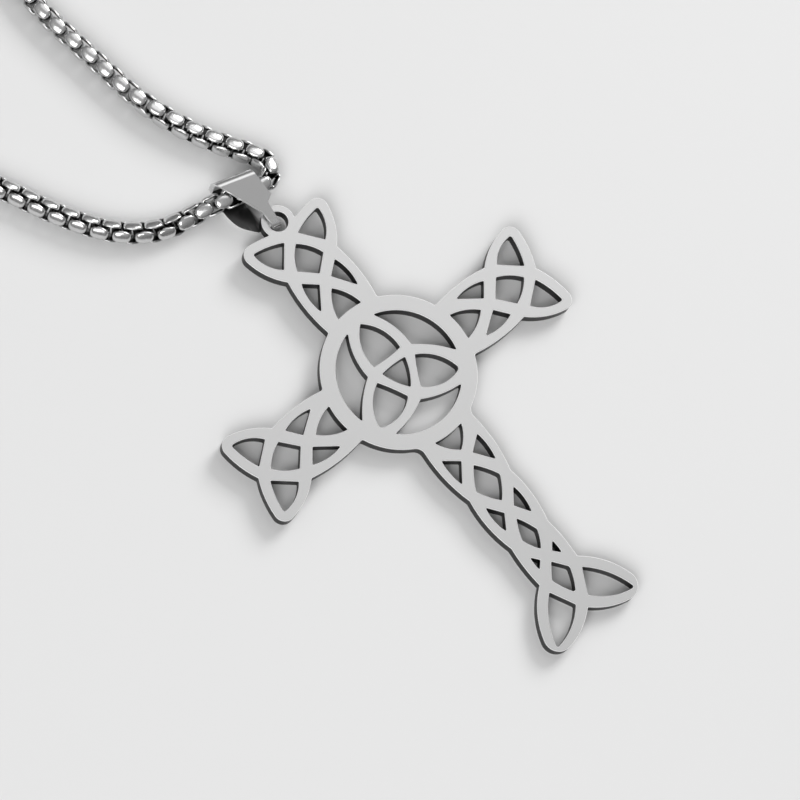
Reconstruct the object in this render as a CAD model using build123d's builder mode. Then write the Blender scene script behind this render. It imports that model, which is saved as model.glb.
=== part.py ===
"""Cross pendant necklace: a pierced cross plate, its folded bail, a round box chain and a barrel clasp.

Millimetres. The ring's centre is the working origin: x along the right arm, y up the pendant and
z up from the surface that everything lies on. The finished pieces are moved so that the origin is
the bottom centre of their common box.
"""
from build123d import *
from collections import namedtuple
from math import asin, cos, degrees, hypot, pi, radians, sin, tan
import os

# Cross plate
plate_t = 2.0
edge_break = 0.08
ring_inner_r = 8.0
ring_outer_r = 10.0
arm_reach = 24.0
arm_spread = 6.6
leg_reach = 40.1
leg_spread = 7.6
eye_hole_r = 1.3
eye_wall = 0.85
eye_rise = 0.25
crisp_r = 0.12
soft_r = 0.25
blunt_r = 0.5
arm_tip_r = 1.4
leg_tip_r = 1.95
arm_joint_r = 0.3
leg_joint_r = 1.3
arm_fan_angle = 10.8
leg_fan_angle = 12.6

# Bail
bail_sheet = 0.45
bail_gap = 0.15
bail_fold_turn = 15.2
bail_reach = 7.2
bail_dip = 0.6
bail_room = 1.05
bail_half_w = 2.55
bail_shift = 1.6
bail_strap_half_w = 0.5
bail_strap_shift = 0.5
bail_strap_rise = 0.2
bail_low_r = 1.9
bail_top_r = 0.8
bail_strap_r = 0.6

# Chain
chain_r = 1.5
chain_gap = 0.25
bend_share = 0.45

# Clasp
clasp_length = 14.0
clasp_bore_depth = 2.4
clasp_gap = 0.1
clasp_wall = 0.5
clasp_edge = 0.4
clasp_groove_w = 0.5
clasp_groove_depth = 0.15
clasp_x = -3.0
clasp_rise = 257.75

# Sizes that follow
eye_outer_r = eye_hole_r + eye_wall
eye_y = arm_reach + eye_rise
clasp_y = eye_y + clasp_rise
bail_height = 2 * (bail_sheet + chain_r) + bail_room
strap_top = 2 * (bail_sheet + bail_gap) + plate_t
clasp_bore_r = chain_r + clasp_gap
clasp_r = clasp_bore_r + clasp_wall

# Corners nearer to a circle than this lie on it
on_circle = 0.01

# A corner of a pierced outline: its place, the rise of the side that starts there as a share of
# that side's length, outward if positive, and the corner's radius. Outlines run counter-clockwise.
Corner = namedtuple("Corner", "x y bow round")

# Rows along a limb: how far out from the ring's rim and how far across, as shares of the limb's
# reach past the rim and of its spread
Row = namedtuple("Row", "along across bow round")

# Rows inside the ring: shares of its inner radius, at an angle from the right arm
Spot = namedtuple("Spot", "share angle bow round")

ARM_SIDE = [
    Row(-0.121, 0.570, 0.054, 0),
    Row(0.525, 0.603, 0.099, crisp_r),
    Row(1.000, 1.000, 0.066, arm_tip_r),
    Row(0.904, 0.000, 0, 0),
]
LEG_SIDE = [
    Row(-0.056, 0.493, 0.060, 0),
    Row(0.272, 0.441, 0.058, crisp_r),
    Row(0.532, 0.395, 0.030, blunt_r),
    Row(0.721, 0.408, 0.112, crisp_r),
    Row(1.000, 1.000, 0.109, leg_tip_r),
    Row(0.915, 0.000, 0, 0),
]

ARM_KITE = [
    Row(0.761, 0.000, 0.070, crisp_r),
    Row(0.554, -0.321, 0, crisp_r),
    Row(0.421, 0.000, 0, crisp_r),
    Row(0.554, 0.321, 0.070, crisp_r),
]
ARM_HORN = [
    Row(0.913, 0.795, 0.046, soft_r),
    Row(0.832, 0.167, 0, crisp_r),
    Row(0.636, 0.508, 0.120, crisp_r),
]
ARM_TRIANGLE = [
    Row(0.443, 0.412, 0, crisp_r),
    Row(0.339, 0.141, 0, crisp_r),
    Row(0.132, 0.452, 0.083, crisp_r),
]

LEG_LOZENGES = [
    [
        Row(0.163, 0.000, 0.037, crisp_r),
        Row(0.259, 0.253, 0.039, blunt_r),
        Row(0.350, 0.000, 0.039, crisp_r),
        Row(0.259, -0.253, 0.037, blunt_r),
    ],
    [
        Row(0.445, 0.000, 0.028, crisp_r),
        Row(0.532, 0.158, 0.047, blunt_r),
        Row(0.606, 0.000, 0.047, crisp_r),
        Row(0.532, -0.158, 0.028, blunt_r),
    ],
    [
        Row(0.674, 0.000, 0, crisp_r),
        Row(0.736, 0.191, 0.046, blunt_r),
        Row(0.834, 0.000, 0.046, soft_r),
        Row(0.736, -0.191, 0, blunt_r),
    ],
]
LEG_TRIANGLES = [
    [
        Row(0.068, 0.386, 0.056, crisp_r),
        Row(0.199, 0.362, 0, crisp_r),
        Row(0.119, 0.122, 0, crisp_r),
    ],
    [
        Row(0.332, 0.300, 0.071, crisp_r),
        Row(0.463, 0.274, 0, crisp_r),
        Row(0.397, 0.103, 0, crisp_r),
    ],
    [
        Row(0.606, 0.243, 0.020, crisp_r),
        Row(0.673, 0.243, 0, crisp_r),
        Row(0.641, 0.129, 0, crisp_r),
    ],
    [
        Row(0.769, 0.353, 0.078, crisp_r),
        Row(0.968, 0.842, 0.099, soft_r),
        Row(0.875, 0.132, 0, soft_r),
    ],
]
ARM_FAN_TIP = 0.249
LEG_FAN_TIP = 0.081
FAN_BOW = 0.077


def rim_bow(span):
    """The rise of an arc that spans so many degrees, as a share of its chord."""
    return tan(radians(span) / 4) / 2


TOP_LOBE = [
    Spot(0.963, 90.0, 0.131, crisp_r),
    Spot(0.401, 132.1, 0.028, crisp_r),
    Spot(0.401, 47.9, 0.131, crisp_r),
]
CENTRE_TRIANGLE = [
    Spot(0.269, 29.8, 0.037, crisp_r),
    Spot(0.269, 150.2, 0.056, crisp_r),
    Spot(0.298, -90.0, 0.056, crisp_r),
]
LOW_PANE_SPAN = 85.6
LOW_PANE = [
    Spot(1.000, -90.0 - LOW_PANE_SPAN / 2, rim_bow(LOW_PANE_SPAN), crisp_r),
    Spot(1.000, -90.0 + LOW_PANE_SPAN / 2, -0.058, crisp_r),
    Spot(0.544, -90.0, -0.058, crisp_r),
]
SIDE_LOBE = [
    Spot(0.389, 10.2, 0.019, crisp_r),
    Spot(0.409, -71.3, 0.153, soft_r),
    Spot(0.964, -32.6, 0.124, blunt_r),
]
SIDE_PANE_SPAN = 91.4
SIDE_PANE_MIDDLE = 29.8
SIDE_PANE = [
    Spot(1.000, SIDE_PANE_MIDDLE - SIDE_PANE_SPAN / 2, rim_bow(SIDE_PANE_SPAN), crisp_r),
    Spot(1.000, SIDE_PANE_MIDDLE + SIDE_PANE_SPAN / 2, -0.082, crisp_r),
    Spot(0.500, 27.5, -0.052, crisp_r),
]


def on_limb(rows, reach, spread):
    """Corners of an outline on a limb that points up from the ring."""
    return [
        Corner(row.across * spread, ring_outer_r + row.along * (reach - ring_outer_r), row.bow, row.round)
        for row in rows
    ]


def in_ring(spots):
    """Corners of an outline inside the ring."""
    return [
        Corner(
            spot.share * ring_inner_r * cos(radians(spot.angle)),
            spot.share * ring_inner_r * sin(radians(spot.angle)),
            spot.bow,
            spot.round,
        )
        for spot in spots
    ]


def fan(tip, half_angle, reach):
    """Corners of the window that stands on the ring's outer rim."""
    across = ring_outer_r * sin(radians(half_angle))
    along = ring_outer_r * cos(radians(half_angle))
    return [
        Corner(0, ring_outer_r + tip * (reach - ring_outer_r), FAN_BOW, crisp_r),
        Corner(-across, along, -rim_bow(2 * half_angle), crisp_r),
        Corner(across, along, FAN_BOW, crisp_r),
    ]


def outlined(corners):
    """A flat shape with bowed sides and rounded corners."""
    with BuildSketch() as shape:
        with BuildLine():
            for here, after in zip(corners, corners[1:] + corners[:1]):
                rise_x = here.bow * (after.y - here.y)
                rise_y = here.bow * (here.x - after.x)
                if here.bow:
                    crown = ((here.x + after.x) / 2 + rise_x, (here.y + after.y) / 2 + rise_y)
                    ThreePointArc((here.x, here.y), crown, (after.x, after.y))
                else:
                    Line((here.x, here.y), (after.x, after.y))
        make_face()
        for corner in corners:
            if corner.round:
                fillet(shape.vertices().sort_by_distance((corner.x, corner.y))[0], corner.round)
    return shape.sketch


def limb_outline(rows, reach, spread):
    """One half of a limb's outline, closed along its middle line."""
    corners = on_limb(rows, reach, spread)
    foot = Corner(0, corners[0].y, 0, 0)
    return outlined([foot] + corners)


def paired(shapes):
    """Shapes with their mirror images across the pendant's middle line."""
    return shapes + [mirror(shape, about=Plane.YZ) for shape in shapes]


# Windows of one arm, of the leg and of the ring
arm_windows = [
    outlined(fan(ARM_FAN_TIP, arm_fan_angle, arm_reach)),
    outlined(on_limb(ARM_KITE, arm_reach, arm_spread)),
] + paired([outlined(on_limb(rows, arm_reach, arm_spread)) for rows in (ARM_HORN, ARM_TRIANGLE)])
leg_windows = (
    [outlined(fan(LEG_FAN_TIP, leg_fan_angle, leg_reach))]
    + [outlined(on_limb(rows, leg_reach, leg_spread)) for rows in LEG_LOZENGES]
    + paired([outlined(on_limb(rows, leg_reach, leg_spread)) for rows in LEG_TRIANGLES])
)
ring_windows = [outlined(in_ring(spots)) for spots in (TOP_LOBE, CENTRE_TRIANGLE, LOW_PANE)] + paired(
    [outlined(in_ring(spots)) for spots in (SIDE_LOBE, SIDE_PANE)]
)
arm_shape = paired([limb_outline(ARM_SIDE, arm_reach, arm_spread)])
leg_shape = paired([limb_outline(LEG_SIDE, leg_reach, leg_spread)])
ARM_TURNS = (0, 90, -90)
LEG_TURN = 180

# The plate leans on its foot, because the bail's back passes under its eye
tilt = asin((bail_sheet + bail_gap) / (eye_y + leg_reach))
plate_plane = Plane(
    origin=(0, 0, leg_reach * sin(tilt)), x_dir=(1, 0, 0), z_dir=(0, -sin(tilt), cos(tilt))
)

# Sharp inner corners of the outline: between the horns of the side arms and the foot, and beside the eye
arm_notch = on_limb(ARM_SIDE, arm_reach, arm_spread)[-1].y
leg_notch = on_limb(LEG_SIDE, leg_reach, leg_spread)[-1].y
notches = [(-arm_notch, 0), (arm_notch, 0), (0, -leg_notch)]


def on_rim(corner):
    """Whether a corner of the outline lies on the ring's outer rim."""
    return abs(hypot(corner.X, corner.Y) - ring_outer_r) < on_circle


def beside_eye(corner):
    """Whether a corner of the outline lies on the eye's outer rim."""
    return abs(hypot(corner.X, corner.Y - eye_y) - eye_outer_r) < on_circle


with BuildPart() as cross_plate:
    with BuildSketch(plate_plane) as outline:
        Circle(ring_outer_r)
        for turn in ARM_TURNS:
            add(arm_shape, rotation=turn)
        add(leg_shape, rotation=LEG_TURN)
        fillet(outline.vertices().filter_by(on_rim).sort_by(Axis.Y)[2:], arm_joint_r)
        fillet(outline.vertices().filter_by(on_rim).sort_by(Axis.Y)[:2], leg_joint_r)
        with Locations((0, eye_y)):
            Circle(eye_outer_r)
        for notch in notches:
            fillet(outline.vertices().sort_by_distance(notch)[0], crisp_r)
        fillet(outline.vertices().filter_by(beside_eye), crisp_r)
        with Locations((0, eye_y)):
            Circle(eye_hole_r, mode=Mode.SUBTRACT)
        for turn in ARM_TURNS:
            add(arm_windows, rotation=turn, mode=Mode.SUBTRACT)
        add(leg_windows, rotation=LEG_TURN, mode=Mode.SUBTRACT)
        add(ring_windows, mode=Mode.SUBTRACT)
    extrude(amount=plate_t)
    faces_front_and_back = cross_plate.faces().sort_by(SortBy.AREA)[-2:]
    chamfer(faces_front_and_back.edges(), edge_break)

# The bail is a tapered strap folded into a closed loop through the eye, its back flat on the surface.
# Its folds run askew, and its front leaf is cut narrower than its back
eye_spot = plate_plane.from_local_coords((0, eye_y, plate_t / 2))
fold_turn = radians(bail_fold_turn)
bail_foot = (eye_spot.X, eye_spot.Y, 0)
fold_plane = Plane(
    origin=bail_foot, x_dir=(sin(fold_turn), cos(fold_turn), 0), z_dir=(cos(fold_turn), -sin(fold_turn), 0)
)
leaf_plane = Plane(origin=bail_foot, x_dir=(1, 0, 0), z_dir=(0, 0, 1))

# A place on a leaf's side: how far out from the eye's centre, as a share of the reach, and how far
# to the right of the bail's middle line, as a share of its half width
Edge = namedtuple("Edge", "along across")
FRONT_LEFT = [
    Edge(0.276, 0.180),
    Edge(1.333, -1.204),
]
FRONT_RIGHT = [
    Edge(0.353, 0.694),
    Edge(0.428, 1.063),
    Edge(1.333, 0.953),
]
BACK_LEFT = [
    Edge(0.096, -0.271),
    Edge(0.204, -0.529),
    Edge(0.351, -0.831),
    Edge(0.521, -0.980),
    Edge(0.694, -1.018),
    Edge(1.333, -1.018),
]
BACK_RIGHT = [
    Edge(0.204, 0.680),
    Edge(0.351, 0.831),
    Edge(0.521, 0.980),
    Edge(0.694, 1.000),
    Edge(1.333, 1.000),
]


def leaf_side(edges, strap_x, side_line):
    """Draws one side of a leaf, out from the strap, with straight runs or one curve; gives its end."""
    places = [(edge.across * bail_half_w - bail_shift, edge.along * bail_reach) for edge in edges]
    Line((strap_x, -2 * bail_dip), (strap_x, bail_strap_rise))
    Line((strap_x, bail_strap_rise), places[0])
    side_line(*places)
    return places[-1]


def leaf(left, right, side_line):
    """Draws a leaf's outline with the strap's, seen from above."""
    left_strap = -bail_strap_shift - bail_strap_half_w
    right_strap = -bail_strap_shift + bail_strap_half_w
    left_end = leaf_side(left, left_strap, side_line)
    right_end = leaf_side(right, right_strap, side_line)
    Line(left_end, right_end)
    Line((left_strap, -2 * bail_dip), (right_strap, -2 * bail_dip))


with BuildPart() as bail_outline:
    with BuildSketch(leaf_plane):
        with BuildLine():
            leaf(BACK_LEFT, BACK_RIGHT, Spline)
        make_face()
    extrude(amount=strap_top / 2)
    with BuildSketch(leaf_plane.offset(strap_top / 2)):
        with BuildLine():
            leaf(FRONT_LEFT, FRONT_RIGHT, Polyline)
        make_face()
    extrude(amount=bail_height - strap_top / 2)

with BuildPart() as bail:
    with BuildSketch(fold_plane) as loop:
        with BuildLine():
            Polyline(
                (-bail_dip, 0),
                (bail_reach, 0),
                (bail_reach, bail_height),
                (-bail_dip, strap_top),
                close=True,
            )
        make_face()
        folds = [
            ((bail_reach, 0), bail_low_r),
            ((bail_reach, bail_height), bail_top_r),
            ((-bail_dip, strap_top), bail_strap_r),
            ((-bail_dip, 0), bail_strap_r),
        ]
        for fold, fold_r in folds:
            fillet(loop.vertices().sort_by_distance(fold)[0], fold_r)
        offset(amount=-bail_sheet, mode=Mode.SUBTRACT)
    extrude(amount=bail_reach, both=True)
    add(bail_outline.part, mode=Mode.INTERSECT)

# The chain's route from the eye, as it lies: from the clasp down the left side, through the bail and
# back up the right side
floor_z = chain_r
bail_z = bail_sheet + chain_gap + chain_r
clasp_z = clasp_r
chain_end = clasp_length / 2 - clasp_bore_depth + clasp_gap
Stop = namedtuple("Stop", "x y z")
ROUTE = [
    Stop(clasp_x - chain_end, clasp_rise, clasp_z),
    Stop(-18.0, clasp_rise, clasp_z),
    Stop(-27.5, 253.75, floor_z),
    Stop(-41.0, 242.25, floor_z),
    Stop(-53.0, 223.75, floor_z),
    Stop(-61.5, 194.75, floor_z),
    Stop(-64.5, 161.75, floor_z),
    Stop(-62.5, 128.25, floor_z),
    Stop(-56.5, 96.25, floor_z),
    Stop(-46.5, 66.25, floor_z),
    Stop(-34.0, 40.75, floor_z),
    Stop(-25.4, 25.25, floor_z),
    Stop(-21.2, 16.75, floor_z),
    Stop(-17.1, 11.05, floor_z),
    Stop(-12.4, 7.85, floor_z),
    Stop(-7.9, 7.15, floor_z),
    Stop(-4.9, 6.60, bail_z),
    Stop(2.0, 4.75, bail_z),
    Stop(3.7, 5.85, (floor_z + bail_z) / 2),
    Stop(4.0, 7.85, floor_z),
    Stop(0.5, 12.85, floor_z),
    Stop(-1.95, 17.35, floor_z),
    Stop(-4.05, 23.35, floor_z),
    Stop(-5.1, 30.95, floor_z),
    Stop(-6.9, 41.25, floor_z),
    Stop(-5.3, 54.25, floor_z),
    Stop(2.0, 72.75, floor_z),
    Stop(14.5, 94.75, floor_z),
    Stop(29.0, 117.75, floor_z),
    Stop(41.5, 142.75, floor_z),
    Stop(49.0, 170.75, floor_z),
    Stop(48.5, 198.75, floor_z),
    Stop(41.0, 223.25, floor_z),
    Stop(30.0, 240.75, floor_z),
    Stop(21.5, 251.25, floor_z),
    Stop(12.5, clasp_rise, clasp_z),
    Stop(clasp_x + chain_end, clasp_rise, clasp_z),
]


def bend_radii(stops):
    """The radius of each bend: as wide as its turn and the shorter run beside it allow."""
    radii = []
    for before, here, after in zip(stops, stops[1:], stops[2:]):
        half_turn = radians((here - before).get_angle(after - here)) / 2
        shorter = min((here - before).length, (after - here).length)
        radii.append(bend_share * shorter / tan(half_turn))
    return radii


chain_stops = [Vector(stop.x, eye_y + stop.y, stop.z) for stop in ROUTE]
chain_radii = bend_radii(chain_stops)
with BuildPart() as chain:
    with BuildLine() as chain_line:
        FilletPolyline(*chain_stops, radius=chain_radii)
    with BuildSketch(Plane(origin=chain_line.wire() @ 0, z_dir=chain_line.wire() % 0)):
        Circle(chain_r)
    sweep(path=chain_line.wire())

# The barrel clasp closes the loop at the back of the neck
clasp_plane = Plane(origin=(clasp_x - clasp_length / 2, clasp_y, clasp_z), z_dir=(1, 0, 0))
with BuildPart() as clasp:
    with BuildSketch(clasp_plane):
        Circle(clasp_r)
    extrude(amount=clasp_length)
    chamfer(clasp.edges().filter_by(GeomType.CIRCLE), clasp_edge)
    for start in (0, clasp_length - clasp_bore_depth):
        with BuildSketch(clasp_plane.offset(start)):
            Circle(clasp_bore_r)
        extrude(amount=clasp_bore_depth, mode=Mode.SUBTRACT)
    with BuildSketch(clasp_plane.offset((clasp_length - clasp_groove_w) / 2)):
        Circle(clasp_r)
        Circle(clasp_r - clasp_groove_depth, mode=Mode.SUBTRACT)
    extrude(amount=clasp_groove_w, mode=Mode.SUBTRACT)

# The origin is the bottom centre of the box around all pieces
pieces = {
    "cross_plate": cross_plate.part,
    "bail": bail.part,
    "chain": chain.part,
    "clasp": clasp.part,
}
boxes = [piece.bounding_box() for piece in pieces.values()]
middle_x = (min(box.min.X for box in boxes) + max(box.max.X for box in boxes)) / 2
middle_y = (min(box.min.Y for box in boxes) + max(box.max.Y for box in boxes)) / 2
shift = Location((-middle_x, -middle_y, 0))

os.makedirs("parts", exist_ok=True)
for name, piece in pieces.items():
    finished = piece.moved(shift)
    finished.label = name
    export_step(finished, f"parts/{name}.step")
    print(f"{name}: volume {finished.volume:.3f} mm3, solids {len(finished.solids())}")

chain_length = chain_line.wire().length
chain_fill = chain.part.volume / (pi * chain_r ** 2 * chain_length)
print("chain radii:", [round(radius, 1) for radius in chain_radii])
print("chain runs:", [round((b - a).length, 1) for a, b in zip(chain_stops, chain_stops[1:])])
print(f"chain length {chain_length:.1f} mm, volume over section times length {chain_fill:.5f}")
print(f"whole loop {chain_length + clasp_length - 2 * clasp_bore_depth + 2 * clasp_gap:.1f} mm")
print(f"ring centre at ({-middle_x:.3f}, {-middle_y:.3f}), plate tilt {degrees(tilt):.3f} degrees")
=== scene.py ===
"""Finishes the cross pendant necklace: its chain's links, steel surfaces, light and camera.

Blender counts in metres, and MM turns millimetres into them. The route's stops, the twists, the
camera's places and the constants above main are in plain millimetres. Lamps and the floor are in
metres. The pendant's own axes are x along the right arm, y up towards the eye and z up from the
surface.
"""
import logging
import math
from dataclasses import dataclass, field
from enum import Enum

import bpy
import numpy as np
from mathutils import Matrix, Vector


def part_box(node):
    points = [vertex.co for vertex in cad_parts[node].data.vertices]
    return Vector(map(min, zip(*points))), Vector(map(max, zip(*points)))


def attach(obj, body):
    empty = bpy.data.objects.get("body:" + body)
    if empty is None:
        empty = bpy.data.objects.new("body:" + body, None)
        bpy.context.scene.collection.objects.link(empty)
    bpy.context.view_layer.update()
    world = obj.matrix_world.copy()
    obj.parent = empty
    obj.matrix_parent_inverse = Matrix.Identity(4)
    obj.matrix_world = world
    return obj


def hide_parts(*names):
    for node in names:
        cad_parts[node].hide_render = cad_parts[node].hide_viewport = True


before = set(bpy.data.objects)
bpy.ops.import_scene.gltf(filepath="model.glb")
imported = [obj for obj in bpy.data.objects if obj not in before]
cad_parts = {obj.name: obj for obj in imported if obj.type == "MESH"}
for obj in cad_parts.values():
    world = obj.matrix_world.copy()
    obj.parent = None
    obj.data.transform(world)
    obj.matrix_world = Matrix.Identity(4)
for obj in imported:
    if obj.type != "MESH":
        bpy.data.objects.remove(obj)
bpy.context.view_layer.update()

MM = 0.001
# The chain mesh's layer that marks where shade is painted into the links' colour.
PAINTED_RECESS_SHADE = "painted_recess_shade"
log = logging.getLogger("necklace")


class Slot(Enum):
    """The record's material slots."""

    PLATE = "satin_steel"
    BAIL = "bail_steel"
    CHAIN = "chain_steel"
    CLASP = "clasp_steel"


class Channel:
    """A number that a shader socket carries, with the arithmetic of plain numbers."""

    def __init__(self, surface: "Surface", socket: bpy.types.NodeSocket) -> None:
        """Keeps the socket and the surface whose node tree it belongs to."""
        self.surface = surface
        self.socket = socket

    def __add__(self, other: "Channel | float") -> "Channel":
        """Adds."""
        return self.surface.maths("ADD", self, other)

    __radd__ = __add__

    def __mul__(self, other: "Channel | float") -> "Channel":
        """Multiplies."""
        return self.surface.maths("MULTIPLY", self, other)

    __rmul__ = __mul__

    def __sub__(self, other: "Channel | float") -> "Channel":
        """Subtracts."""
        return self.surface.maths("SUBTRACT", self, other)

    def __rsub__(self, other: float) -> "Channel":
        """Subtracts from a plain number."""
        return self.surface.maths("SUBTRACT", other, self)

    def __abs__(self) -> "Channel":
        """Drops the sign."""
        return self.surface.maths("ABSOLUTE", self)


class Surface:
    """The node tree of one material."""

    def __init__(self, name: str) -> None:
        """Makes an empty material.

        Args:
            name: The material's name.
        """
        self.material = bpy.data.materials.new(name)
        self.material.use_nodes = True
        self.tree = self.material.node_tree
        self.tree.nodes.clear()

    def node(
        self, kind: str, settings: dict | None = None, inputs: dict | None = None
    ) -> bpy.types.Node:
        """Adds a node.

        Args:
            kind: The node's type.
            settings: The node's own properties, set first.
            inputs: Values, channels or sockets, by the name or number of the input they feed.

        Returns:
            The new node.
        """
        made = self.tree.nodes.new(kind)
        for key, value in (settings or {}).items():
            setattr(made, key, value)
        for key, value in (inputs or {}).items():
            source = value.socket if isinstance(value, Channel) else value
            if isinstance(source, bpy.types.NodeSocket):
                self.tree.links.new(source, made.inputs[key])
            else:
                made.inputs[key].default_value = source
        return made

    def maths(self, operation: str, *terms: "Channel | float") -> Channel:
        """Adds a Math node.

        Args:
            operation: The node's operation.
            terms: Its inputs, in order.

        Returns:
            The result.
        """
        made = self.node("ShaderNodeMath", {"operation": operation}, dict(enumerate(terms)))
        return Channel(self, made.outputs[0])

    def smooth_step(self, value: Channel, low: float, high: float) -> Channel:
        """Turns a channel into a mask.

        Args:
            value: The channel.
            low: Where the mask is 0.
            high: Where the mask is 1.

        Returns:
            The mask.
        """
        made = self.node(
            "ShaderNodeMapRange",
            {"interpolation_type": "SMOOTHSTEP"},
            {"Value": value, "From Min": low, "From Max": high},
        )
        return Channel(self, made.outputs["Result"])

    def noise(
        self, scale: float, detail: float, stretch: tuple[float, float, float] = (1, 1, 1)
    ) -> Channel:
        """Adds noise that stays with the object.

        Args:
            scale: Cells in a metre.
            detail: How many finer layers it has.
            stretch: The share of that scale along each axis.

        Returns:
            The noise, from 0 to 1.
        """
        place = self.node("ShaderNodeTexCoord").outputs["Object"]
        mapped = self.node("ShaderNodeMapping", None, {"Vector": place, "Scale": stretch})
        made = self.node(
            "ShaderNodeTexNoise", None, {"Vector": mapped.outputs[0], "Scale": scale, "Detail": detail}
        )
        return Channel(self, made.outputs["Fac"])

    def facing_up(self, signed: bool = False) -> Channel:
        """Gives how level a surface is: 1 on a level face and 0 on an upright wall.

        Args:
            signed: Whether a face that looks down gives less than 0.

        Returns:
            How level it is.
        """
        normal = self.node("ShaderNodeNewGeometry").outputs["Normal"]
        split = self.node("ShaderNodeSeparateXYZ", None, {"Vector": normal})
        level = Channel(self, split.outputs["Z"])
        return level if signed else abs(level)

    def height(self) -> Channel:
        """Gives the height above the surface that the necklace lies on, in metres."""
        place = self.node("ShaderNodeTexCoord").outputs["Object"]
        return Channel(self, self.node("ShaderNodeSeparateXYZ", None, {"Vector": place}).outputs["Z"])

    def attribute(self, name: str) -> Channel:
        """Reads a number that the mesh carries at its corners; 0 where it carries none."""
        return Channel(self, self.node("ShaderNodeAttribute", {"attribute_name": name}).outputs["Fac"])

    def blend(
        self, mask: Channel, low: "tuple | bpy.types.NodeSocket", high: "tuple | bpy.types.NodeSocket"
    ) -> bpy.types.NodeSocket:
        """Mixes two colours.

        Args:
            mask: The share of the second colour.
            low: The first colour, or a socket that gives it.
            high: The second colour, or a socket that gives it.

        Returns:
            The mixed colour's socket.
        """
        made = self.node("ShaderNodeMix", {"data_type": "RGBA"}, {0: mask, 6: low, 7: high})
        return made.outputs[2]

    def relief(self, height: Channel, depth: float) -> bpy.types.NodeSocket:
        """Turns a height into a bumped normal.

        Args:
            height: The height, from 0 to 1.
            depth: The height of 1, in metres.

        Returns:
            The normal's socket.
        """
        made = self.node("ShaderNodeBump", None, {"Height": height, "Strength": 1.0, "Distance": depth})
        return made.outputs["Normal"]

    def finish(self, constants: dict, varying: dict) -> bpy.types.Material:
        """Closes the tree with a principled shader.

        Args:
            constants: Values that are the same all over the surface.
            varying: Channels and sockets that change over it.

        Returns:
            The material.
        """
        shader = self.node("ShaderNodeBsdfPrincipled", None, {**constants, **varying})
        self.node("ShaderNodeOutputMaterial", None, {"Surface": shader.outputs[0]})
        return self.material


@dataclass(frozen=True)
class SatinSteel:
    """Rolled sheet with a fine satin face, a painted highlight on its broken edges and painted shade on
    its cut walls.

    Masks run between two values of how level the surface is.
    """

    face: tuple[float, float, float] = (0.57, 0.57, 0.57)
    # Painted highlight on the broken edges.
    painted_edge_highlight: tuple[float, float, float] = (0.95, 0.95, 0.95)
    # Painted shade on the cut walls.
    wall: tuple[float, float, float] = (0.03, 0.03, 0.03)
    edge_highlight_scatter: float = 0.65
    face_roughness: float = 0.34
    wall_roughness: float = 0.45
    sloped_range: tuple[float, float] = (0.25, 0.6)
    level_range: tuple[float, float] = (0.8, 0.98)
    cloud_cells: float = 90.0
    cloud_detail: float = 3.0
    cloud_depth: float = 0.06
    grain_cells: float = 2600.0
    grain_detail: float = 2.0
    grain_stretch: tuple[float, float, float] = (1.0, 0.06, 1.0)
    grain_depth: float = 0.0015 * MM

    def material(self) -> bpy.types.Material:
        """Builds the finish."""
        surface = Surface(Slot.PLATE.value)
        facing_up = surface.facing_up()
        sloped = surface.smooth_step(facing_up, *self.sloped_range)
        level = surface.smooth_step(facing_up, *self.level_range)
        clouds = surface.noise(self.cloud_cells, self.cloud_detail)
        grain = surface.noise(self.grain_cells, self.grain_detail, self.grain_stretch)
        rough = self.wall_roughness + sloped * (self.face_roughness - self.wall_roughness)
        # Near-black painted shade on the cut walls, near-white painted highlight on the broken edges.
        cut = surface.blend(sloped, (*self.wall, 1.0), (*self.painted_edge_highlight, 1.0))
        # The broken edges are made partly non-metallic so that their painted highlight shows from every
        # side.
        broken_edge_highlight = sloped * (1.0 - level)
        return surface.finish(
            {},
            {
                "Metallic": 1.0 - broken_edge_highlight * self.edge_highlight_scatter,
                "Base Color": surface.blend(level, cut, (*self.face, 1.0)),
                "Roughness": rough + (clouds - 0.5) * self.cloud_depth,
                "Normal": surface.relief(grain, self.grain_depth),
            },
        )


@dataclass(frozen=True)
class TumbledSteel:
    """Tumbled steel: bright and faintly dimpled, with shade painted dark where a piece has recesses."""

    name: str
    tone: tuple[float, float, float] = (0.66, 0.66, 0.66)
    # Painted shade for the links' insides and ends.
    painted_recess_shade: tuple[float, float, float] = (0.12, 0.12, 0.12)
    roughness: float = 0.24
    wear: float = 0.10
    wear_cells: float = 900.0
    wear_detail: float = 3.0
    dimple_cells: float = 1500.0
    dimple_detail: float = 1.0
    dimple_depth: float = 0.02 * MM

    def material(self) -> bpy.types.Material:
        """Builds the finish."""
        surface = Surface(self.name)
        wear = surface.noise(self.wear_cells, self.wear_detail)
        dimples = surface.noise(self.dimple_cells, self.dimple_detail)
        # How much shade the mesh marks to be painted at each place.
        painted_shade_share = surface.attribute(PAINTED_RECESS_SHADE)
        return surface.finish(
            {"Metallic": 1.0},
            {
                "Base Color": surface.blend(painted_shade_share, (*self.tone, 1.0), (*self.painted_recess_shade, 1.0)),
                "Roughness": self.roughness + (wear - 0.5) * self.wear,
                "Normal": surface.relief(dimples, self.dimple_depth),
            },
        )


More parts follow.
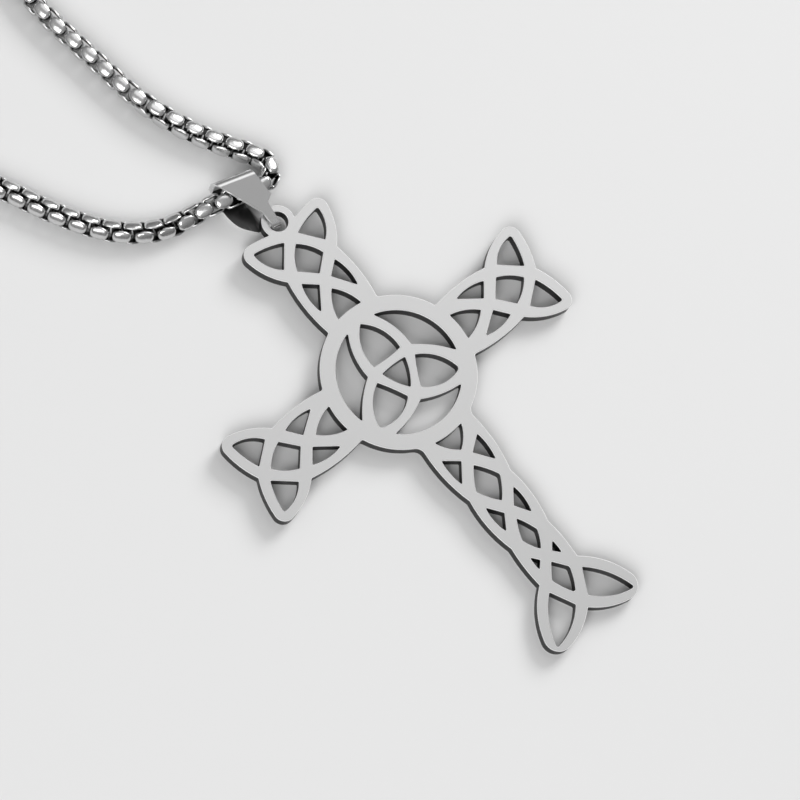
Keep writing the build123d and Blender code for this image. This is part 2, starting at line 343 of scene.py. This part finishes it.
@dataclass(frozen=True)
class FoldedSteel:
    """Sheet that is polished outside, and left as it was rolled, rougher, inside the fold, where shade
    is painted dark into its colour.

    Masks run between two values of how level the surface is.
    """

    outside: tuple[float, float, float] = (0.74, 0.74, 0.74)
    # Painted shade inside the fold.
    inside: tuple[float, float, float] = (0.05, 0.05, 0.05)
    # Painted highlight on the upright cut walls.
    painted_edge_highlight: tuple[float, float, float] = (0.92, 0.92, 0.92)
    edge_highlight_scatter: float = 0.6
    outside_roughness: float = 0.22
    inside_roughness: float = 0.30
    inside_height: float = 0.65 * MM
    inside_fade: float = 1.2
    inside_range: tuple[float, float] = (0.3, 0.6)
    wall_highlight_range: tuple[float, float] = (0.02, 0.06)
    streak_cells: float = 700.0
    streak_detail: float = 2.0
    streak_stretch: tuple[float, float, float] = (1.0, 0.12, 1.0)
    streak_from: float = 0.48
    streak_full: float = 0.62
    streak_share: float = 0.7

    def material(self) -> bpy.types.Material:
        """Builds the finish."""
        surface = Surface(Slot.BAIL.value)
        fade_end = self.inside_height * self.inside_fade
        low = 1.0 - surface.smooth_step(surface.height(), self.inside_height, fade_end)
        # Where the inside of the fold lies; it is rougher there and gets painted shade.
        inside = low * surface.smooth_step(surface.facing_up(signed=True), *self.inside_range)
        cells = surface.noise(self.streak_cells, self.streak_detail, self.streak_stretch)
        streaks = surface.smooth_step(cells, self.streak_from, self.streak_full)
        # Painted shade, lightened in streaks.
        inside_painted_shade = inside * (1.0 - streaks * self.streak_share)
        # Painted highlight: upright faces, mostly the sheet's cut walls, get a near-white colour and
        # are made partly non-metallic.
        wall_highlight = 1.0 - surface.smooth_step(surface.facing_up(), *self.wall_highlight_range)
        leaf = surface.blend(inside_painted_shade, (*self.outside, 1.0), (*self.inside, 1.0))
        return surface.finish(
            {},
            {
                "Metallic": 1.0 - wall_highlight * self.edge_highlight_scatter,
                "Base Color": surface.blend(wall_highlight, leaf, (*self.painted_edge_highlight, 1.0)),
                "Roughness": (
                    self.outside_roughness + inside * (self.inside_roughness - self.outside_roughness)
                ),
            },
        )


@dataclass
class Route:
    """The line that the chain follows.

    Its stops are in millimetres from the eye, and its middle is the eye's place in metres.
    """

    stops: list[tuple[float, float, float]]
    middle: tuple[float, float, float]
    order: int = 3
    resolution: int = 40

    def points(self) -> np.ndarray:
        """Reads evenly dense points along the route's smooth spline.

        Returns:
            The points, one a row, in metres.
        """
        curve = bpy.data.curves.new("chain_route", "CURVE")
        curve.dimensions = "3D"
        curve.resolution_u = self.resolution
        spline = curve.splines.new("NURBS")
        spline.points.add(len(self.stops) - 1)
        for point, (x, y, z) in zip(spline.points, self.stops):
            point.co = (x * MM + self.middle[0], y * MM + self.middle[1], z * MM, 1.0)
        spline.order_u = self.order
        spline.use_endpoint_u = True
        carrier = bpy.data.objects.new("chain_route", curve)
        bpy.context.scene.collection.objects.link(carrier)
        mesh = bpy.data.meshes.new_from_object(carrier)
        places = np.empty(len(mesh.vertices) * 3)
        mesh.vertices.foreach_get("co", places)
        bpy.data.meshes.remove(mesh)
        bpy.data.objects.remove(carrier)
        bpy.data.curves.remove(curve)
        return places.reshape(-1, 3)


@dataclass(frozen=True)
class BoxLink:
    """One link: a flat strip bent into a squared loop, its outside rounded over."""

    pitch: float = 1.36 * MM
    half_long: float = 1.27 * MM
    half_wide: float = 1.36 * MM
    strip_t: float = 0.50 * MM
    belly_half_w: float = 0.92 * MM
    end_half_w: float = 0.60 * MM
    belly_until: float = 0.10
    end_from: float = 0.92
    crown: float = 0.12 * MM
    loop_power: float = 6.0
    strip_power: float = 3.0
    # Where the painted shade at the link's ends begins, as a share of the half length.
    end_shade_from: float = 0.94
    stations: int = 32
    sides: int = 12

    def rings(self) -> np.ndarray:
        """Works out the strip's sections round the loop.

        Returns:
            Places as [station, side, axis], the axes being along the chain, out from its middle in
            the loop's plane, and across the strip.
        """
        turn = np.linspace(0, 2 * np.pi, self.stations, endpoint=False)
        reach_long = self.half_long - self.strip_t / 2
        reach_wide = self.half_wide - self.strip_t / 2
        share_long, share_wide = self._rounded_square(turn, self.loop_power)
        lean = np.stack(
            [
                np.sign(share_long) * np.abs(share_long) ** (self.loop_power - 1) / reach_long,
                np.sign(share_wide) * np.abs(share_wide) ** (self.loop_power - 1) / reach_wide,
            ],
            axis=1,
        )
        lean /= np.linalg.norm(lean, axis=1, keepdims=True)
        narrowing = np.clip(
            (np.abs(share_long) * reach_long / self.half_long - self.belly_until)
            / (self.end_from - self.belly_until),
            0,
            1,
        )
        narrowing = narrowing * narrowing * (3 - 2 * narrowing)
        half_w = self.belly_half_w + (self.end_half_w - self.belly_half_w) * narrowing
        around = np.linspace(0, 2 * np.pi, self.sides, endpoint=False)
        share_w, share_t = self._rounded_square(around, self.strip_power)
        across = half_w[:, None] * share_w[None, :]
        height = np.broadcast_to(share_t * self.strip_t / 2, across.shape)
        height = height - np.where(share_t > 0, self.crown, 0) * (across / self.belly_half_w) ** 2
        along = reach_long * share_long[:, None] + height * lean[:, :1]
        out = reach_wide * share_wide[:, None] + height * lean[:, 1:]
        return np.stack([along, out, across], axis=2)

    @staticmethod
    def _rounded_square(turn: np.ndarray, power: float) -> tuple[np.ndarray, np.ndarray]:
        """Gives points of a square with rounded corners, as shares of its half sides.

        Args:
            turn: Angles round it.
            power: How square it is; 2 is a circle.

        Returns:
            The two shares at each angle.
        """
        cosine, sine = np.cos(turn), np.sin(turn)
        return (
            np.sign(cosine) * np.abs(cosine) ** (2 / power),
            np.sign(sine) * np.abs(sine) ** (2 / power),
        )

    def painted_recess_shade(self) -> np.ndarray:
        """Works out how much shade is painted at each place: 0 outside, 1 inside the loop and at its
        ends.

        Returns:
            The shares of painted shade as [station, side].
        """
        turn = np.linspace(0, 2 * np.pi, self.stations, endpoint=False)
        around = np.linspace(0, 2 * np.pi, self.sides, endpoint=False)
        share_long, _ = self._rounded_square(turn, self.loop_power)
        _, share_t = self._rounded_square(around, self.strip_power)
        # Painted shade at the link's ends, which lie in the gaps between links, and on the strip's
        # inner side.
        end = np.clip((np.abs(share_long) - self.end_shade_from) / (1 - self.end_shade_from), 0, 1)
        inner = np.clip(-share_t * 2, 0, 1)
        return np.maximum(end[:, None], inner[None, :])

    def faces(self) -> np.ndarray:
        """Gives the four corners of each face, counted inside one link."""
        station, side = np.meshgrid(np.arange(self.stations), np.arange(self.sides), indexing="ij")
        after = (station + 1) % self.stations
        beside = (side + 1) % self.sides
        corners = [
            station * self.sides + side,
            station * self.sides + beside,
            after * self.sides + beside,
            after * self.sides + side,
        ]
        return np.stack([corner.ravel() for corner in corners], axis=1)


@dataclass
class BoxChain:
    """The interlocking links along the route, in one mesh for each side of the necklace.

    A twist is a distance along the route past its lowest point, in millimetres, and the links' roll
    there, in degrees.
    """

    route: Route
    link: BoxLink = field(default_factory=BoxLink)
    end_margin: float = 0.6 * MM
    twists: tuple[tuple[float, float], ...] = (
        (-300.0, 38.0),
        (-14.0, 38.0),
        (-8.0, 73.0),
        (0.0, 73.0),
        (15.0, 72.0),
        (23.0, 106.0),
        (300.0, 106.0),
    )

    def build(self, finish: bpy.types.Material) -> list[bpy.types.Object]:
        """Builds both strands.

        Args:
            finish: The links' material.

        Returns:
            The strands.
        """
        line = self.route.points()
        travelled = np.concatenate([[0], np.cumsum(np.linalg.norm(np.diff(line, axis=0), axis=1))])
        usable = travelled[-1] - 2 * self.end_margin
        count = round(usable / self.link.pitch)
        stations = self.end_margin + (np.arange(count) + 0.5) * usable / count
        lowest = line[:, 1].argmin()
        middle = travelled[lowest]
        strands = []
        for name, numbers in (
            ("chain_left_strand", np.flatnonzero(stations < middle)),
            ("chain_right_strand", np.flatnonzero(stations >= middle)),
        ):
            piece = self._strand(name, line, travelled, middle, stations[numbers], numbers)
            piece.data.materials.append(finish)
            log.info("%s: %d links", name, len(numbers))
            strands.append(piece)
        return strands

    def _strand(
        self,
        name: str,
        line: np.ndarray,
        travelled: np.ndarray,
        middle: float,
        stations: np.ndarray,
        numbers: np.ndarray,
    ) -> bpy.types.Object:
        """Builds the links of one strand.

        Args:
            name: The piece's name.
            line: Points along the route.
            travelled: Each point's distance from the start.
            middle: The distance of the route's lowest point from the start.
            stations: The links' distances from the start.
            numbers: The links' numbers, odd ones being turned a quarter.

        Returns:
            The piece.
        """
        places = self._along(line, travelled, stations)
        ahead = self._along(line, travelled, stations + self.link.pitch / 2)
        behind = self._along(line, travelled, stations - self.link.pitch / 2)
        tangent = ahead - behind
        tangent /= np.linalg.norm(tangent, axis=1, keepdims=True)
        sideways = np.cross(tangent, np.array([0.0, 0.0, 1.0]))
        sideways /= np.linalg.norm(sideways, axis=1, keepdims=True)
        upwards = np.cross(sideways, tangent)
        twist = np.interp((stations - middle) / MM, *zip(*self.twists))
        roll = np.radians(twist + 90 * (numbers % 2))
        out = np.cos(roll)[:, None] * sideways + np.sin(roll)[:, None] * upwards
        across = np.cross(tangent, out)
        basis = np.stack([tangent, out, across], axis=1)
        shape = self.link.rings().reshape(-1, 3)
        vertices = places[:, None, :] + np.einsum("vk,lkx->lvx", shape, basis)
        faces = self.link.faces()[None, :, :] + (np.arange(len(places)) * len(shape))[:, None, None]
        piece = solid_piece(name, vertices.reshape(-1, 3), faces.reshape(-1, 4))
        # Marks where shade is painted into the links' colour.
        depth = piece.data.attributes.new(PAINTED_RECESS_SHADE, "FLOAT", "POINT")
        depth.data.foreach_set("value", np.tile(self.link.painted_recess_shade().ravel(), len(places)))
        return piece

    @staticmethod
    def _along(line: np.ndarray, travelled: np.ndarray, distance: np.ndarray) -> np.ndarray:
        """Gives the points at these distances along a line."""
        return np.stack([np.interp(distance, travelled, line[:, axis]) for axis in range(3)], axis=1)


def solid_piece(name: str, vertices: np.ndarray, faces: np.ndarray) -> bpy.types.Object:
    """Makes a smooth shaded mesh object.

    Args:
        name: The piece's name.
        vertices: One place a row, in metres.
        faces: Four vertex numbers a row.

    Returns:
        The piece.
    """
    mesh = bpy.data.meshes.new(name)
    mesh.vertices.add(len(vertices))
    mesh.vertices.foreach_set("co", vertices.ravel())
    mesh.loops.add(faces.size)
    mesh.loops.foreach_set("vertex_index", faces.ravel().astype(np.int32))
    mesh.polygons.add(len(faces))
    mesh.polygons.foreach_set("loop_start", np.arange(0, faces.size, 4, dtype=np.int32))
    mesh.polygons.foreach_set("use_smooth", np.ones(len(faces), dtype=bool))
    mesh.update()
    mesh.validate()
    piece = bpy.data.objects.new(name, mesh)
    bpy.context.scene.collection.objects.link(piece)
    return piece


def dress(node: str, finish: bpy.types.Material) -> None:
    """Gives a carried-over node its finish.

    Args:
        node: The node's name.
        finish: The material.
    """
    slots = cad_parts[node].material_slots
    for slot in slots:
        slot.material = finish
    log.info("%s: %d slots dressed", node, len(slots))


@dataclass(frozen=True)
class Lamp:
    """A square lamp: its direction as seen from the pendant, and its sizes in metres and watts."""

    name: str
    direction: tuple[float, float, float]
    distance: float
    side: float
    power: float


@dataclass
class Studio:
    """A pale floor, soft light and the camera."""

    face_middle: Vector
    lamps: tuple[Lamp, ...] = (
        Lamp("soft_box", (0.33, 0.22, 0.92), 0.9, 0.50, 0.65),
        Lamp("key", (0.78, 0.20, 0.55), 0.9, 0.40, 5.0),
        Lamp("fill", (-0.60, -0.25, 0.75), 0.9, 0.60, 4.5),
    )
    floor_tone: float = 0.72
    floor_roughness: float = 0.6
    floor_half: float = 4.0
    horizon_tone: float = 0.20
    horizon_until: float = 0.15
    zenith_tone: float = 0.40
    zenith_from: float = 0.95
    camera_place: tuple[float, float, float] = (-150.8, -54.4, 497.1)
    camera_target: tuple[float, float, float] = (-2.2, -2.9, 0.0)
    picture_up: float = 50.68
    lens: float = 188.6
    sensor: float = 36.0
    clip_start: float = 0.01

    def build(self) -> None:
        """Builds all of it."""
        self._floor()
        self._world()
        for lamp in self.lamps:
            self._light(lamp)
        self._camera()

    def _floor(self) -> None:
        """Lays the floor."""
        half = self.floor_half
        corners = [(-half, -half, 0), (half, -half, 0), (half, half, 0), (-half, half, 0)]
        mesh = bpy.data.meshes.new("floor")
        mesh.from_pydata(corners, [], [(0, 1, 2, 3)])
        floor = bpy.data.objects.new("floor", mesh)
        bpy.context.scene.collection.objects.link(floor)
        surface = Surface("floor")
        tone = (self.floor_tone, self.floor_tone, self.floor_tone, 1.0)
        mesh.materials.append(
            surface.finish({"Base Color": tone, "Roughness": self.floor_roughness}, {})
        )

    def _world(self) -> None:
        """Sets the room's light, dim at the horizon and bright overhead."""
        world = bpy.data.worlds.new("room")
        world.use_nodes = True
        tree = world.node_tree
        place = tree.nodes.new("ShaderNodeTexCoord")
        split = tree.nodes.new("ShaderNodeSeparateXYZ")
        tone = tree.nodes.new("ShaderNodeMapRange")
        tone.interpolation_type = "SMOOTHSTEP"
        tone.inputs["From Min"].default_value = self.horizon_until
        tone.inputs["From Max"].default_value = self.zenith_from
        tone.inputs["To Min"].default_value = self.horizon_tone
        tone.inputs["To Max"].default_value = self.zenith_tone
        tree.links.new(place.outputs["Generated"], split.inputs[0])
        tree.links.new(split.outputs["Z"], tone.inputs["Value"])
        tree.links.new(tone.outputs["Result"], tree.nodes["Background"].inputs["Strength"])
        tree.nodes["Background"].inputs["Color"].default_value = (1.0, 1.0, 1.0, 1.0)
        bpy.context.scene.world = world
        bpy.context.scene.view_settings.view_transform = "Standard"

    def _light(self, lamp: Lamp) -> None:
        """Hangs a lamp that faces the pendant.

        Args:
            lamp: The lamp.
        """
        light = bpy.data.lights.new(lamp.name, "AREA")
        light.size = lamp.side
        light.energy = lamp.power
        holder = bpy.data.objects.new(lamp.name, light)
        away = Vector(lamp.direction).normalized()
        holder.location = self.face_middle + away * lamp.distance
        holder.rotation_mode = "QUATERNION"
        holder.rotation_quaternion = away.to_track_quat("Z", "Y")
        holder.visible_camera = False
        bpy.context.scene.collection.objects.link(holder)

    def _camera(self) -> None:
        """Sets the camera at the photograph's viewing angle."""
        place = self.face_middle + Vector(self.camera_place) * MM
        target = self.face_middle + Vector(self.camera_target) * MM
        forward = (target - place).normalized()
        turn = math.radians(self.picture_up)
        up_hint = Vector((math.cos(turn), math.sin(turn), 0))
        right = forward.cross(up_hint).normalized()
        up = right.cross(forward)
        lens = bpy.data.cameras.new("camera")
        lens.lens = self.lens
        lens.sensor_width = self.sensor
        lens.clip_start = self.clip_start
        holder = bpy.data.objects.new("camera", lens)
        turned = Matrix((right, up, -forward)).transposed().to_4x4()
        holder.matrix_world = Matrix.Translation(place) @ turned
        bpy.context.scene.collection.objects.link(holder)
        bpy.context.scene.camera = holder


FLOOR_Z = 1.5
BAIL_Z = 2.2
CLASP_Z = 2.1
CLASP_RISE = 257.75
CHAIN_STOPS = [
    (-7.7, CLASP_RISE, CLASP_Z),
    (-18.0, CLASP_RISE, CLASP_Z),
    (-27.5, 253.75, FLOOR_Z),
    (-41.0, 242.25, FLOOR_Z),
    (-53.0, 223.75, FLOOR_Z),
    (-61.5, 194.75, FLOOR_Z),
    (-64.5, 161.75, FLOOR_Z),
    (-62.5, 128.25, FLOOR_Z),
    (-56.5, 96.25, FLOOR_Z),
    (-46.5, 66.25, FLOOR_Z),
    (-34.0, 40.75, FLOOR_Z),
    (-25.4, 25.25, FLOOR_Z),
    (-21.2, 16.75, FLOOR_Z),
    (-17.1, 11.05, FLOOR_Z),
    (-12.4, 7.85, FLOOR_Z),
    (-7.9, 7.15, FLOOR_Z),
    (-4.9, 6.60, BAIL_Z),
    (2.0, 4.75, BAIL_Z),
    (3.7, 5.85, (FLOOR_Z + BAIL_Z) / 2),
    (4.0, 7.85, FLOOR_Z),
    (0.5, 12.85, FLOOR_Z),
    (-1.95, 17.35, FLOOR_Z),
    (-4.05, 23.35, FLOOR_Z),
    (-5.1, 30.95, FLOOR_Z),
    (-6.9, 41.25, FLOOR_Z),
    (-5.3, 54.25, FLOOR_Z),
    (2.0, 72.75, FLOOR_Z),
    (14.5, 94.75, FLOOR_Z),
    (29.0, 117.75, FLOOR_Z),
    (41.5, 142.75, FLOOR_Z),
    (49.0, 170.75, FLOOR_Z),
    (48.5, 198.75, FLOOR_Z),
    (41.0, 223.25, FLOOR_Z),
    (30.0, 240.75, FLOOR_Z),
    (21.5, 251.25, FLOOR_Z),
    (12.5, CLASP_RISE, CLASP_Z),
    (1.7, CLASP_RISE, CLASP_Z),
]
CLASP_X = -3.0
EYE_Y = 24.25
FACE_DROP = 0.25


def main() -> None:
    """Builds the necklace's looks and its stage."""
    logging.basicConfig(level=logging.INFO, format="%(message)s")
    clasp_low, clasp_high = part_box("clasp")
    clasp_middle = (clasp_low + clasp_high) / 2
    eye = clasp_middle - Vector((CLASP_X, CLASP_RISE, 0)) * MM
    chain = BoxChain(Route(CHAIN_STOPS, (eye.x, eye.y, 0)))
    for strand in chain.build(TumbledSteel(Slot.CHAIN.value).material()):
        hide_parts("chain")
        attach(strand, "root")
    dress("cross_plate", SatinSteel().material())
    dress("bail", FoldedSteel().material())
    dress("clasp", TumbledSteel(Slot.CLASP.value).material())
    face_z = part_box("cross_plate")[1].z - FACE_DROP * MM
    Studio(Vector((eye.x, eye.y - EYE_Y * MM, face_z))).build()


if __name__ == "__main__":
    main()
